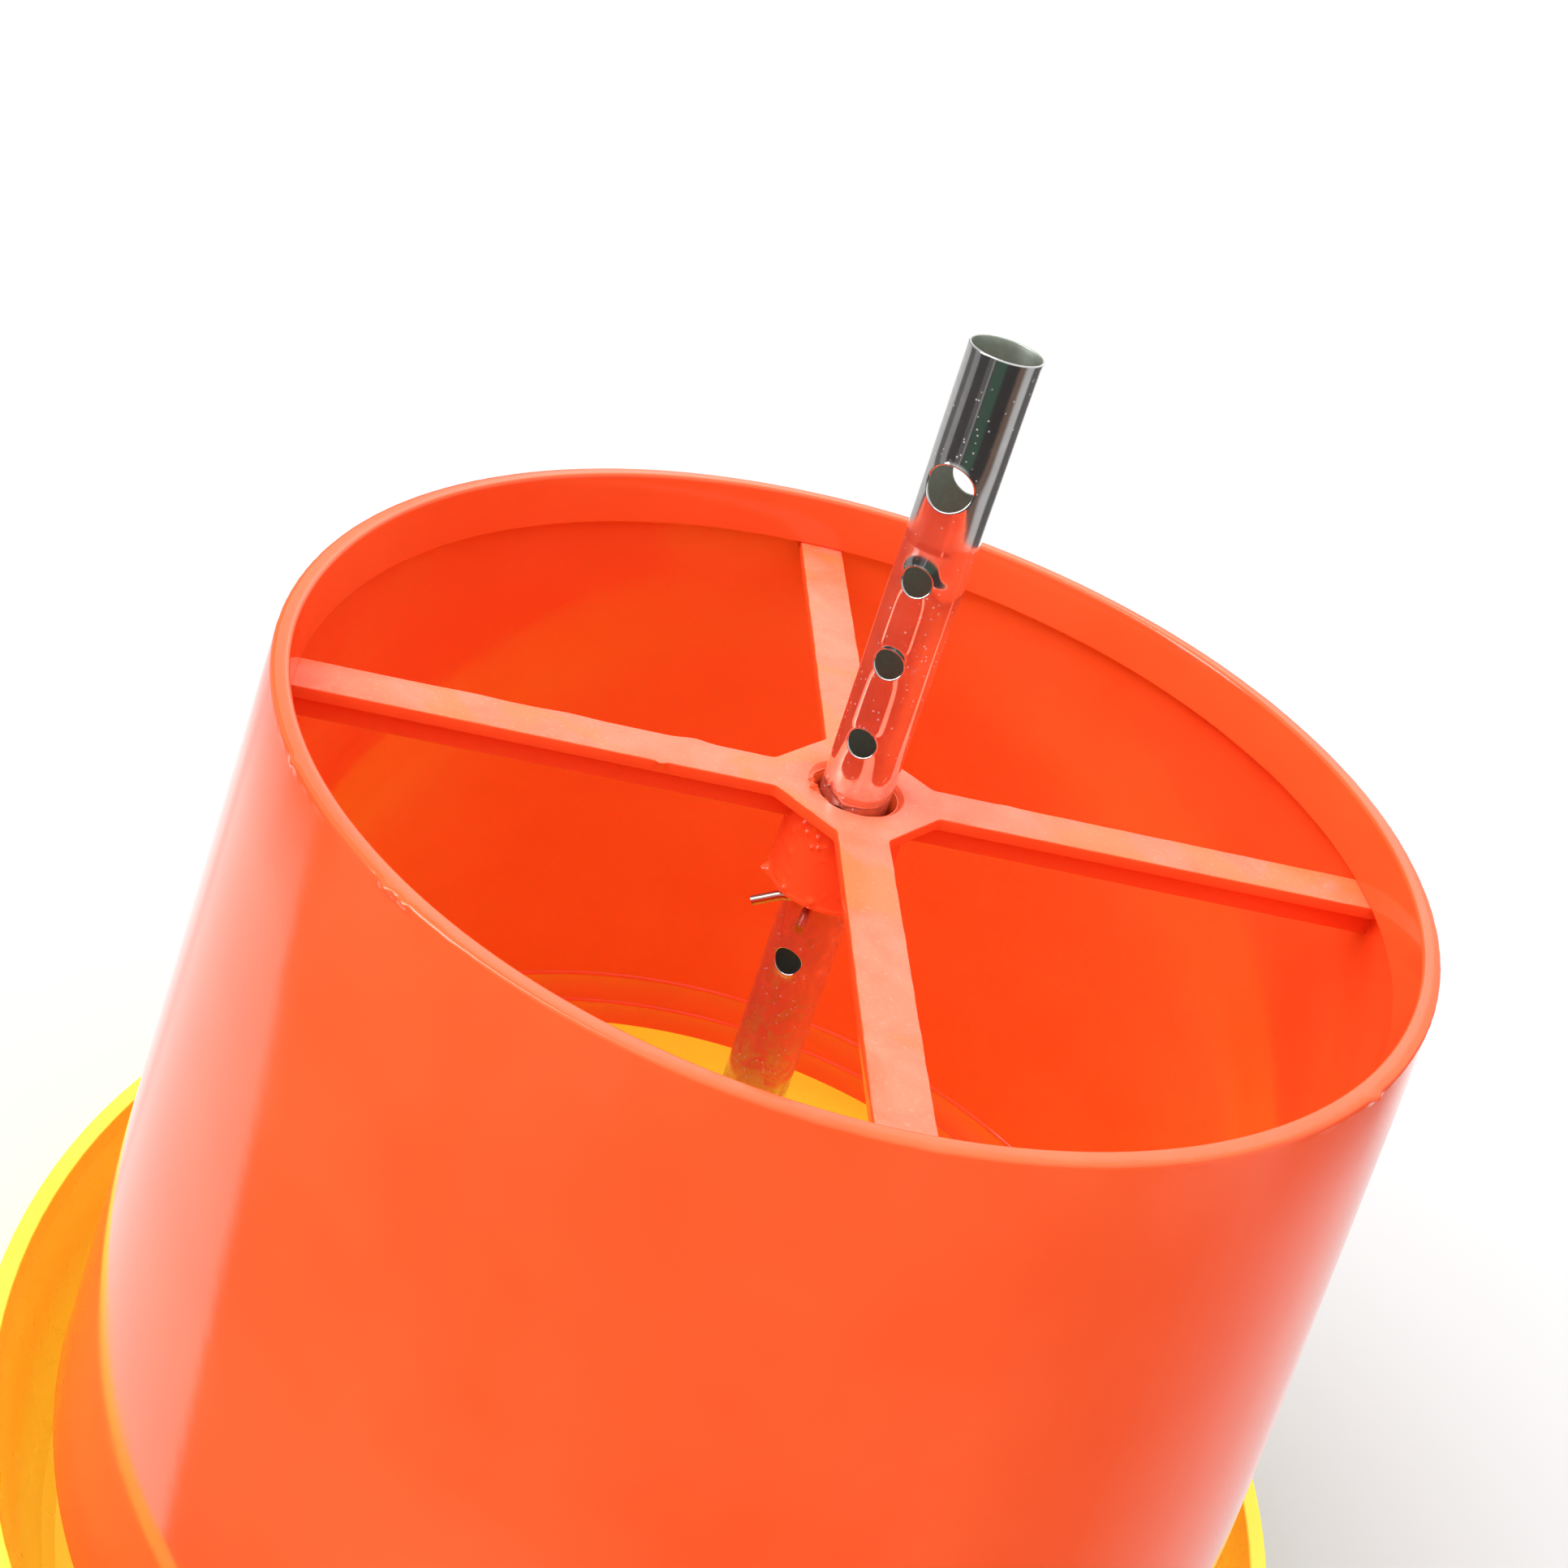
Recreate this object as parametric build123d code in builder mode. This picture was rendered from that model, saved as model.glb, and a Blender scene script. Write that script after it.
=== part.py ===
# Hanging poultry feeder, built at real size in millimetres.
# The origin is on the feeder's upright axis, in the plane the pan stands on, with +Z up.
# The holes and the pins run along Y, and the side of the open pin legs is -Y.
# Read from the photo: the hopper's mouth, wall, spider and hub, the tube and its holes,
# the pin under the hub and the pan's rim. Hidden and finished plainly: the pan below its
# rim, its cone and boss, the tube's lower end and the pin that holds the pan.

import os
from math import sqrt

from build123d import *

os.makedirs("parts", exist_ok=True)

# Tube
tube_radius = 8.0
tube_wall = 0.6
tube_foot = 8.0
tube_top = 340.2
hanging_hole_depth = 29.0
hanging_hole_height = tube_top - hanging_hole_depth
hanging_hole_radius = 4.9
adjusting_hole_height = 209.5
adjusting_hole_pitch = 20.0
adjusting_hole_radius = 3.3
pan_hole_height = 19.8
cutter_overrun = 2.0

# Split pins bent from round wire, each lying on the lower edge of its holes
wire_radius = 1.1
leg_offset = 1.15
contact_gap = 0.05
bend_radius = 1.5
eye_spread = 3.0
eye_shoulder = 3.4
eye_corner = 7.0
eye_corner_inset = 0.6
eye_length = 8.8
pin_drop = sqrt((adjusting_hole_radius - wire_radius - contact_gap) ** 2 - leg_offset ** 2)

# Pin under the hub: one leg is bent down and aside, the other is left nearly straight
adjusting_pin_height = adjusting_hole_height - pin_drop
adjusting_eye_start = tube_radius + 1.6
bent_leg_start = 8.7
bent_leg_middle = (5.6, 10.3, 1.1)
bent_leg_end = (11.0, 12.8, 4.6)
straight_leg_start = 9.0
straight_leg_end = (3.4, 18.6, 1.2)

# Heights of the hopper, whose sleeve stands on the pin
sleeve_foot_depth = 39.17
band_depth = 13.7
hopper_height = 207.6
sleeve_foot = adjusting_pin_height + wire_radius + contact_gap
rim_height = sleeve_foot + sleeve_foot_depth
spider_top = rim_height - band_depth
hopper_foot = rim_height - hopper_height

# Hopper wall, which flares downwards below the spider
mouth_radius = 125.0
rim_width = 3.8
band_lean = 1.4
band_step = 3.3
wall_flare = 18.5
foot_wall = 3.2
edge_rounding = 0.7
rim_outer_radius = mouth_radius + rim_width
band_foot_radius = mouth_radius - band_lean
wall_neck_radius = band_foot_radius + band_step
foot_inner_radius = wall_neck_radius + wall_flare
foot_outer_radius = foot_inner_radius + foot_wall

# Two thin moulded rings low on the inside of the hopper wall, as heights over its foot
ring_heights = (21.6, 9.6)
ring_height_each = 1.6
ring_depth = 0.6
ring_root = 1.0

# Spider: four flat bars, each with a narrower web under it
arm_turn = 30.5
arm_width = 11.7
arm_thickness = 3.0
arm_bite = 2.3
arm_reach = wall_neck_radius + arm_bite
web_thickness = 3.6
web_depth = 9.9
plate_half_diagonal = 24.6

# Hub bore, loose on the tube
hub_clearance = 1.0
bore_radius = tube_radius + hub_clearance
sleeve_wall = 4.4
sleeve_flare = 0.5
sleeve_edge = 0.4
sleeve_top_radius = bore_radius + sleeve_wall
sleeve_foot_radius = sleeve_top_radius + sleeve_flare
recess_widening = 2.0
recess_depth = 1.5

# Pan, whose rim stands off the hopper's foot by the gap that the birds eat through
eating_gap = 14.3
pan_rim_height = 51.0
pan_rim_width = 4.6
pan_rim_depth = 5.5
pan_wall = 2.8
pan_wall_slant = 1.4
pan_wall_lean = 14.9
pan_floor_thickness = 3.0
pan_floor_rise = 4.0
pan_floor_corner = 3.5
pan_foot_corner = 4.4
pan_floor_width = 44.0
cone_foot_inset = 0.6
cone_top_height = 58.0
cone_wall = 2.8
cone_shoulder = 5.0
cone_shoulder_drop = 1.5
boss_clearance = 0.4
boss_wall = 4.6
boss_foot = 15.5
slot_half_width = 2.7
pan_rim_inner_radius = foot_outer_radius + eating_gap
pan_rim_radius = pan_rim_inner_radius + pan_rim_width
pan_floor_radius = pan_rim_inner_radius - pan_wall_lean
cone_foot_radius = pan_floor_radius - pan_floor_width
boss_bore_radius = tube_radius + boss_clearance
boss_radius = boss_bore_radius + boss_wall

# Pin under the pan, which lies in a slot across the boss
pan_pin_height = pan_hole_height - pin_drop
slot_top = pan_pin_height + wire_radius + contact_gap
pan_eye_start = boss_radius + 1.4
pan_leg_start = boss_radius + 1.6
pan_leg_end = (8.0, 20.5)


# The hopper is one moulding: wall, rim, spider, hub plate and sleeve.
with BuildPart() as hopper:

    # Wall with the thicker band above the spider
    with BuildSketch(Plane.XZ):
        with BuildLine():
            Polyline(
                (mouth_radius, rim_height),
                (rim_outer_radius, rim_height),
                (foot_outer_radius, hopper_foot),
                (foot_inner_radius, hopper_foot),
                (wall_neck_radius, spider_top),
                (band_foot_radius, spider_top),
                close=True,
            )
        make_face()
    revolve(axis=Axis.Z)

    # Soft edges of the rim and of the foot
    rim_edges = hopper.edges().filter_by(GeomType.CIRCLE).filter_by_position(
        Axis.Z, rim_height - 0.1, rim_height + 0.1
    )
    foot_edges = hopper.edges().filter_by(GeomType.CIRCLE).filter_by_position(
        Axis.Z, hopper_foot - 0.1, hopper_foot + 0.1
    )
    fillet(rim_edges + foot_edges, edge_rounding)

    # Thin rings low on the inside of the wall
    for height_over_foot in ring_heights:
        ring_height = hopper_foot + height_over_foot
        share_down = (spider_top - ring_height) / (spider_top - hopper_foot)
        ring_radius = wall_neck_radius + share_down * (foot_inner_radius - wall_neck_radius)
        with BuildSketch(Plane.XZ):
            with BuildLine():
                Polyline(
                    (ring_radius + ring_root, ring_height - ring_height_each / 2),
                    (ring_radius + ring_root, ring_height + ring_height_each / 2),
                    (ring_radius, ring_height + ring_height_each / 2),
                    (ring_radius - ring_depth, ring_height),
                    (ring_radius, ring_height - ring_height_each / 2),
                    close=True,
                )
            make_face()
        revolve(axis=Axis.Z)

    # Flat bars of the spider and the hub plate
    with BuildSketch(Plane.XY.offset(spider_top).rotated((0, 0, arm_turn))):
        Rectangle(2 * arm_reach, arm_width)
        Rectangle(arm_width, 2 * arm_reach)
        with BuildLine():
            Polyline(
                (plate_half_diagonal, 0),
                (0, plate_half_diagonal),
                (-plate_half_diagonal, 0),
                (0, -plate_half_diagonal),
                close=True,
            )
        make_face()
    extrude(amount=-arm_thickness)

    # Webs under the bars
    with BuildSketch(Plane.XY.offset(spider_top - arm_thickness / 2).rotated((0, 0, arm_turn))):
        Rectangle(2 * arm_reach, web_thickness)
        Rectangle(web_thickness, 2 * arm_reach)
    extrude(amount=arm_thickness / 2 - web_depth)

    # Sleeve of the hub
    with BuildSketch(Plane.XZ):
        with BuildLine():
            Polyline(
                (0, spider_top - arm_thickness / 3),
                (sleeve_top_radius, spider_top - arm_thickness / 3),
                (sleeve_foot_radius, sleeve_foot + sleeve_edge),
                (sleeve_foot_radius - sleeve_edge, sleeve_foot),
                (0, sleeve_foot),
                close=True,
            )
        make_face()
    revolve(axis=Axis.Z)

    # Bore for the tube, with a shallow recess at its top
    with BuildSketch(Plane.XY.offset(sleeve_foot - cutter_overrun)):
        Circle(bore_radius)
    extrude(amount=spider_top - sleeve_foot + 2 * cutter_overrun, mode=Mode.SUBTRACT)
    with BuildSketch(Plane.XY.offset(spider_top)):
        Circle(bore_radius + recess_widening)
    extrude(amount=-recess_depth, mode=Mode.SUBTRACT)

hopper.part.label = "hopper"
export_step(hopper.part, "parts/hopper.step")


# Thin steel tube that carries the whole feeder.
with BuildPart() as tube:
    with BuildSketch(Plane.XY.offset(tube_foot)):
        Circle(tube_radius)
        Circle(tube_radius - tube_wall, mode=Mode.SUBTRACT)
    extrude(amount=tube_top - tube_foot)

    # Hole for the hanging hook, through both walls
    with BuildSketch(Plane.XZ):
        with Locations((0, hanging_hole_height)):
            Circle(hanging_hole_radius)
    extrude(amount=tube_radius + cutter_overrun, both=True, mode=Mode.SUBTRACT)

    # Adjusting holes: four above the pin's hole and one below it
    with BuildSketch(Plane.XZ):
        for step in (-1, 0, 1, 2, 3, 4):
            with Locations((0, adjusting_hole_height + step * adjusting_hole_pitch)):
                Circle(adjusting_hole_radius)
    extrude(amount=tube_radius + cutter_overrun, both=True, mode=Mode.SUBTRACT)

    # Hole for the pin under the pan
    with BuildSketch(Plane.XZ):
        with Locations((0, pan_hole_height)):
            Circle(adjusting_hole_radius)
    extrude(amount=tube_radius + cutter_overrun, both=True, mode=Mode.SUBTRACT)

tube.part.label = "tube"
export_step(tube.part, "parts/tube.step")


# Outline of a pin's eye beyond the point where its legs part, as (x, distance from there)
eye_side = leg_offset + eye_spread
eye_outline = (
    (-eye_side, eye_shoulder),
    (-eye_side + eye_corner_inset, eye_corner),
    (0, eye_length),
    (eye_side - eye_corner_inset, eye_corner),
    (eye_side, eye_shoulder),
)

# Split pin under the hub: its eye is at +Y and its open legs at -Y.
with BuildPart() as adjusting_pin:
    with BuildLine() as wire_line:
        FilletPolyline(
            (-bent_leg_end[0], -bent_leg_end[1], adjusting_pin_height - bent_leg_end[2]),
            (-bent_leg_middle[0], -bent_leg_middle[1], adjusting_pin_height - bent_leg_middle[2]),
            (-leg_offset, -bent_leg_start, adjusting_pin_height),
            (-leg_offset, adjusting_eye_start, adjusting_pin_height),
            *[(x, adjusting_eye_start + y, adjusting_pin_height) for x, y in eye_outline],
            (leg_offset, adjusting_eye_start, adjusting_pin_height),
            (leg_offset, -straight_leg_start, adjusting_pin_height),
            (straight_leg_end[0], -straight_leg_end[1], adjusting_pin_height - straight_leg_end[2]),
            radius=bend_radius,
        )
    with BuildSketch(Plane(origin=wire_line.line @ 0, z_dir=wire_line.line % 0)):
        Circle(wire_radius)
    sweep(path=wire_line.line)

adjusting_pin.part.label = "adjusting_pin"
export_step(adjusting_pin.part, "parts/adjusting_pin.step")


# Longer split pin under the pan's boss, lying in the boss's slot.
with BuildPart() as pan_pin:
    with BuildLine() as pan_wire_line:
        FilletPolyline(
            (-pan_leg_end[0], -pan_leg_end[1], pan_pin_height),
            (-leg_offset, -pan_leg_start, pan_pin_height),
            (-leg_offset, pan_eye_start, pan_pin_height),
            *[(x, pan_eye_start + y, pan_pin_height) for x, y in eye_outline],
            (leg_offset, pan_eye_start, pan_pin_height),
            (leg_offset, -pan_leg_start, pan_pin_height),
            (pan_leg_end[0], -pan_leg_end[1], pan_pin_height),
            radius=bend_radius,
        )
    with BuildSketch(Plane(origin=pan_wire_line.line @ 0, z_dir=pan_wire_line.line % 0)):
        Circle(wire_radius)
    sweep(path=pan_wire_line.line)

pan_pin.part.label = "pan_pin"
export_step(pan_pin.part, "parts/pan_pin.step")


# Feed pan with a flat rim, a cone that sheds the feed outwards and a boss for the tube.
with BuildPart() as pan:
    pan_rim_foot = pan_rim_height - pan_rim_depth
    with BuildSketch(Plane.XZ):
        with BuildLine():
            Polyline(
                (pan_rim_radius, pan_rim_height),
                (pan_rim_inner_radius, pan_rim_height),
                (pan_rim_inner_radius - pan_wall_slant, pan_rim_foot),
                (pan_floor_radius, pan_floor_thickness + pan_floor_rise),
                (pan_floor_radius - pan_floor_corner, pan_floor_thickness),
                (cone_foot_radius, pan_floor_thickness),
                (boss_radius + cone_shoulder, cone_top_height - cone_shoulder_drop),
                (boss_radius, cone_top_height),
                (boss_bore_radius, cone_top_height),
                (boss_bore_radius, boss_foot),
                (boss_radius, boss_foot),
                (boss_radius, cone_top_height - cone_shoulder_drop - cone_wall),
                (boss_radius + cone_shoulder - 1, cone_top_height - cone_shoulder_drop - cone_wall),
                (cone_foot_radius - cone_foot_inset, 0),
                (pan_floor_radius - pan_foot_corner + pan_wall, 0),
                (pan_floor_radius + pan_wall, pan_floor_rise),
                (pan_rim_inner_radius - pan_wall_slant + pan_wall, pan_rim_foot),
                (pan_rim_radius, pan_rim_foot),
                close=True,
            )
        make_face()
    revolve(axis=Axis.Z)

    # Slot across the boss for the pin, so the pan cannot turn on the tube
    with BuildSketch(Plane.XZ.offset(-boss_radius - cutter_overrun)):
        with Locations((0, (boss_foot - cutter_overrun + slot_top) / 2)):
            Rectangle(2 * slot_half_width, slot_top - boss_foot + cutter_overrun)
    extrude(amount=2 * boss_radius + 2 * cutter_overrun, mode=Mode.SUBTRACT)

    # Soft edges of the rim
    pan_rim_edges = pan.edges().filter_by(GeomType.CIRCLE).filter_by_position(
        Axis.Z, pan_rim_height - 0.1, pan_rim_height + 0.1
    )
    fillet(pan_rim_edges, edge_rounding)

pan.part.label = "pan"
export_step(pan.part, "parts/pan.step")
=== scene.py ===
import math

import bmesh
import bpy
from mathutils import Matrix, Quaternion, Vector, noise


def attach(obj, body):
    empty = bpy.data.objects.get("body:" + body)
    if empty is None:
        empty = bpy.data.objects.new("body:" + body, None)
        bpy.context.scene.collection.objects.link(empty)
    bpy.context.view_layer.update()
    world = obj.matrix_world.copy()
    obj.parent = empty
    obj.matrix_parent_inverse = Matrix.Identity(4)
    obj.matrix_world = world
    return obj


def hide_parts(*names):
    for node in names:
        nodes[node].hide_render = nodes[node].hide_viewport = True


# A hanging poultry feeder: a glossy orange hopper with a crossed spider, loose on a drilled steel tube,
# over a yellow feed pan
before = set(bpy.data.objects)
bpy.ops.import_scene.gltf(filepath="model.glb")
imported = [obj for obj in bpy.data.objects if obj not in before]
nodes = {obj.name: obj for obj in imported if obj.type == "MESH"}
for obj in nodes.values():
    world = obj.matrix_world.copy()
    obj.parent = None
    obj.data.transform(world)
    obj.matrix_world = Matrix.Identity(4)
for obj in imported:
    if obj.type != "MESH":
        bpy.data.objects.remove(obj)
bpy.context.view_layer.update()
scene = bpy.context.scene
scene.view_settings.view_transform = "Standard"
scene.view_settings.look = "None"


# Small helpers
def link(obj):
    scene.collection.objects.link(obj)
    return obj


def mesh_object(name, bm, smooth_angle=35):
    mesh = bpy.data.meshes.new(name)
    bm.to_mesh(mesh)
    bm.free()
    mesh.update()
    obj = link(bpy.data.objects.new(name, mesh))
    mesh.shade_smooth()
    mesh.set_sharp_from_angle(angle=math.radians(smooth_angle))
    return obj


class Graph:
    """Short names for the nodes of one node tree."""

    def __init__(self, tree):
        self.tree = tree
        self.tree.nodes.clear()

    def join(self, source, target):
        self.tree.links.new(source, target)

    def put(self, socket, value):
        if isinstance(value, bpy.types.NodeSocket):
            self.join(value, socket)
        else:
            socket.default_value = value

    def span(self, value, low, high, to_low=0.0, to_high=1.0, smooth=False):
        node = self.tree.nodes.new("ShaderNodeMapRange")
        if smooth:
            node.interpolation_type = "SMOOTHSTEP"
        self.put(node.inputs["Value"], value)
        ends = {"From Min": low, "From Max": high, "To Min": to_low, "To Max": to_high}
        for socket, number in ends.items():
            node.inputs[socket].default_value = number
        return node.outputs["Result"]

    def math(self, operation, a, b=0.0, clamp=False):
        node = self.tree.nodes.new("ShaderNodeMath")
        node.operation = operation
        node.use_clamp = clamp
        self.put(node.inputs[0], a)
        self.put(node.inputs[1], b)
        return node.outputs["Value"]

    def mix(self, factor, a, b):
        node = self.tree.nodes.new("ShaderNodeMix")
        node.data_type = "RGBA"
        self.put(node.inputs["Factor"], factor)
        for socket, value in (("A", a), ("B", b)):
            target = [s for s in node.inputs if s.name == socket and s.type == "RGBA"][0]
            self.put(target, (*value, 1.0) if isinstance(value, tuple) and len(value) == 3 else value)
        return [s for s in node.outputs if s.type == "RGBA"][0]

    def split(self, vector):
        node = self.tree.nodes.new("ShaderNodeSeparateXYZ")
        self.join(vector, node.inputs["Vector"])
        return node.outputs


class Tree(Graph):
    """The nodes of one material."""

    def __init__(self, name):
        self.material = bpy.data.materials.new(name)
        self.material.use_nodes = True
        super().__init__(self.material.node_tree)
        out = self.tree.nodes.new("ShaderNodeOutputMaterial")
        self.shader = self.tree.nodes.new("ShaderNodeBsdfPrincipled")
        self.join(self.shader.outputs["BSDF"], out.inputs["Surface"])
        self.coords = self.tree.nodes.new("ShaderNodeTexCoord")
        self.geometry = self.tree.nodes.new("ShaderNodeNewGeometry")

    def place(self, scale=(1, 1, 1), move=(0, 0, 0)):
        node = self.tree.nodes.new("ShaderNodeMapping")
        self.join(self.coords.outputs["Object"], node.inputs["Vector"])
        node.inputs["Scale"].default_value = scale
        node.inputs["Location"].default_value = move
        return node.outputs["Vector"]

    def noise(self, scale, detail=3.0, rough=0.55, warp=0.0, vector=None):
        node = self.tree.nodes.new("ShaderNodeTexNoise")
        self.join(vector or self.coords.outputs["Object"], node.inputs["Vector"])
        node.inputs["Scale"].default_value = scale
        node.inputs["Detail"].default_value = detail
        node.inputs["Roughness"].default_value = rough
        node.inputs["Distortion"].default_value = warp
        return node.outputs["Fac"]

    def cells(self, scale):
        node = self.tree.nodes.new("ShaderNodeTexVoronoi")
        self.join(self.coords.outputs["Object"], node.inputs["Vector"])
        node.inputs["Scale"].default_value = scale
        return node.outputs["Distance"]

    def bump(self, height, strength, distance):
        node = self.tree.nodes.new("ShaderNodeBump")
        node.inputs["Strength"].default_value = strength
        node.inputs["Distance"].default_value = distance
        self.join(height, node.inputs["Height"])
        self.join(node.outputs["Normal"], self.shader.inputs["Normal"])

    def set(self, **values):
        for name, value in values.items():
            socket = self.shader.inputs[name.replace("_", " ")]
            if isinstance(value, tuple) and len(value) == 3:
                value = (*value, 1.0)
            self.put(socket, value)


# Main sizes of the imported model, in millimetres
MM = 0.001
ARM_TURN = math.radians(30.5)
RIM_Z, SPIDER_Z, FOOT_Z = 248.0, 234.3, 40.4
MOUTH_R, RIM_OUTER_R, FOOT_OUTER_R = 125.0, 128.8, 148.6
CHAMBER_TOP_R, FOOT_INNER_R = 126.9, 145.4
SLEEVE_FOOT_Z = 208.85
TUBE_R, TUBE_WALL = 8.0, 0.6
TUBE_FOOT_Z, TUBE_TOP_Z = 8.0, 340.2
HANGING_HOLE_Z, HANGING_HOLE_R = 311.2, 4.9
SMALL_HOLE_R = 3.3
LOWEST_HOLE_Z, HOLE_PITCH, HOLE_COUNT = 189.5, 20.0, 6
HIGHEST_HOLE_Z = LOWEST_HOLE_Z + (HOLE_COUNT - 1) * HOLE_PITCH
PAN_HOLE_Z = 19.8

# Base colours in linear light, in pairs where a noise runs from one to the other
ORANGE = (0.95, 0.091, 0.020), (0.99, 0.116, 0.031)
# Painted top light: a paler orange for the flat tops, standing in for the light falling on them from above
LIT_TOP_ORANGE = (0.97, 0.118, 0.043), (1.0, 0.180, 0.100)
STAIN = (0.99, 0.150, 0.034)
CHALK = (1.0, 0.45, 0.32)
YELLOW = (0.98, 0.80, 0.042), (1.0, 0.87, 0.075)
BRIGHT_STEEL = (0.84, 0.83, 0.82), (0.70, 0.69, 0.68)
DULL_STEEL = (0.42, 0.46, 0.40), (0.62, 0.65, 0.58)
TARNISH = (0.55, 0.40, 0.33)
# Painted reflection: the wire's steel tinted pink, standing in for the orange hopper it mirrors
WIRE_WITH_ORANGE_REFLECTION = (0.60, 0.44, 0.38), (0.45, 0.35, 0.31)
FLOOR_GREY = (0.49, 0.49, 0.49), (0.52, 0.52, 0.52)
PLASTIC_IOR = 1.49

# Heights on the part, in metres, between which a finish changes; under the rim the painted top light and
# the dull tops fade out
TOP_FADE_FROM, TOP_FADE_TO = (RIM_Z - 2.0) * MM, (RIM_Z - 1.2) * MM
TARNISH_TOP, TARNISH_FOOT = (SPIDER_Z + 12.2) * MM, (SPIDER_Z + 0.7) * MM
DULL_INSIDE_FROM, DULL_INSIDE_TO = 322.0 * MM, 314.0 * MM


# Materials
def hopper_plastic():
    """Glossy orange moulding; its flat tops are duller, carry stains and specks, and are painted paler as
    painted top light, less so at the rim.
    """
    t = Tree("hopper_plastic")
    normal_z = t.split(t.geometry.outputs["Normal"])[2]
    top = t.span(normal_z, 0.80, 0.985, smooth=True)
    cloud = t.noise(13.0, 3.0)
    fine = t.noise(170.0, 4.0)
    base = t.mix(t.span(cloud, 0.35, 0.68), *ORANGE)
    # Painted top light: the paler colour for the flat tops, with a random haze, stains and specks mixed in
    haze = t.span(t.noise(70.0, 5.0, 0.62, 0.9), 0.30, 0.66)
    pale = t.mix(haze, *LIT_TOP_ORANGE)
    patches = t.noise(27.0, 4.0, 0.55, 0.5, t.place((1.0, 1.3, 1.0), (0.31, 0.12, 0.0)))
    stain = t.span(patches, 0.545, 0.61)
    pale = t.mix(t.math("MULTIPLY", stain, 0.70), pale, STAIN)
    grain = t.span(t.noise(900.0, 2.0), 0.60, 0.70)
    pale = t.mix(t.math("MULTIPLY", grain, 0.16), pale, CHALK)
    height = t.split(t.coords.outputs["Object"])[2]
    # Painted top light: the flat tops take the paler colour, less near the rim, and are also made duller
    lit_top_and_dull = t.math("MULTIPLY", top, t.span(height, TOP_FADE_FROM, TOP_FADE_TO, 1.0, 0.12))
    colour = t.mix(lit_top_and_dull, base, pale)
    rub = t.span(t.noise(26.0, 4.0, 0.6, 0.4, t.place((1, 1, 0.35))), 0.42, 0.74)
    dull = t.math("MULTIPLY", lit_top_and_dull, t.span(haze, 0.0, 1.0, 0.20, 0.32))
    roughness = t.math("ADD", t.span(rub, 0.0, 1.0, 0.08, 0.15), dull)
    t.set(Base_Color=colour, Roughness=roughness, IOR=PLASTIC_IOR)
    ripple = t.math("ADD", t.noise(9.0, 2.0), t.math("MULTIPLY", fine, 0.045))
    scuff = t.math("MULTIPLY", t.noise(420.0, 3.0), t.math("MULTIPLY", top, 0.10))
    t.bump(t.math("ADD", ripple, scuff), 0.35, 0.0012)
    return t.material


def pan_plastic():
    """Glossy yellow moulding."""
    t = Tree("pan_plastic")
    cloud = t.noise(11.0, 3.0)
    t.set(
        Base_Color=t.mix(t.span(cloud, 0.35, 0.68), *YELLOW),
        Roughness=t.span(t.noise(40.0, 4.0), 0.3, 0.7, 0.22, 0.34),
        IOR=PLASTIC_IOR,
    )
    t.bump(t.math("ADD", t.noise(10.0, 2.0), t.math("MULTIPLY", t.noise(210.0, 3.0), 0.05)), 0.3, 0.001)
    return t.material


def tube_steel():
    """Bright rolled steel with fine lengthwise drawing lines, specks, scratches and a duller inside."""
    t = Tree("tube_steel")
    x, y, z = t.split(t.coords.outputs["Object"])
    outward = t.split(t.geometry.outputs["True Normal"])
    facing = t.math("ADD", t.math("MULTIPLY", x, outward[0]), t.math("MULTIPLY", y, outward[1]))
    inside = t.span(facing, 0.0, -0.004)
    lines = t.noise(420.0, 3.0, 0.6, 0.0, t.place((1.0, 1.0, 0.02)))
    specks = t.span(t.cells(520.0), 0.0, 0.09, 1.0, 0.0)
    smudge = t.noise(60.0, 4.0, 0.6, 0.8)
    strands = t.noise(75.0, 3.0, 0.6, 1.4, t.place((1.6, 1.6, 0.9)))
    hair = t.math("ABSOLUTE", t.math("SUBTRACT", strands, 0.5))
    worn = t.noise(55.0, 2.0, 0.5, 0.0, t.place(move=(0.2, 0.1, 0.4)))
    scratch = t.math("MULTIPLY", t.span(hair, 0.0035, 0.0010), t.span(worn, 0.60, 0.68, 0.0, 0.6))
    mottle = t.span(t.noise(230.0, 4.0, 0.6, 1.2), 0.42, 0.62)
    tarnish = t.math("MULTIPLY", t.span(z, TARNISH_TOP, TARNISH_FOOT), mottle)
    dots = t.math("MULTIPLY", t.span(t.cells(620.0), 0.17, 0.09), t.span(t.noise(90.0, 2.0), 0.42, 0.52))
    marks = t.math("MAXIMUM", dots, t.math("MULTIPLY", scratch, 0.8))
    deep = t.math("MULTIPLY", inside, t.span(z, DULL_INSIDE_FROM, DULL_INSIDE_TO))
    metal = t.mix(t.span(smudge, 0.35, 0.7), *BRIGHT_STEEL)
    metal = t.mix(t.math("MULTIPLY", tarnish, 0.5), metal, TARNISH)
    lost = t.math("MULTIPLY", t.math("MAXIMUM", marks, deep), 0.55)
    finish = t.math("ADD", t.span(smudge, 0.3, 0.75, 0.035, 0.10), t.math("MULTIPLY", inside, 0.42))
    rubs = t.math("MULTIPLY", t.math("ADD", scratch, tarnish), 0.20)
    wear = t.math("ADD", t.math("MULTIPLY", specks, 0.22), rubs)
    t.set(
        Base_Color=t.mix(inside, metal, t.mix(t.noise(900.0, 3.0), *DULL_STEEL)),
        Metallic=t.math("SUBTRACT", 0.965, lost, clamp=True),
        Roughness=t.math("ADD", finish, wear, clamp=True),
    )
    height = t.math("ADD", t.math("MULTIPLY", lines, 0.35), t.math("MULTIPLY", specks, 0.45))
    height = t.math("ADD", height, t.math("MULTIPLY", scratch, 0.35))
    t.bump(height, 0.22, 0.00012)
    return t.material


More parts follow.
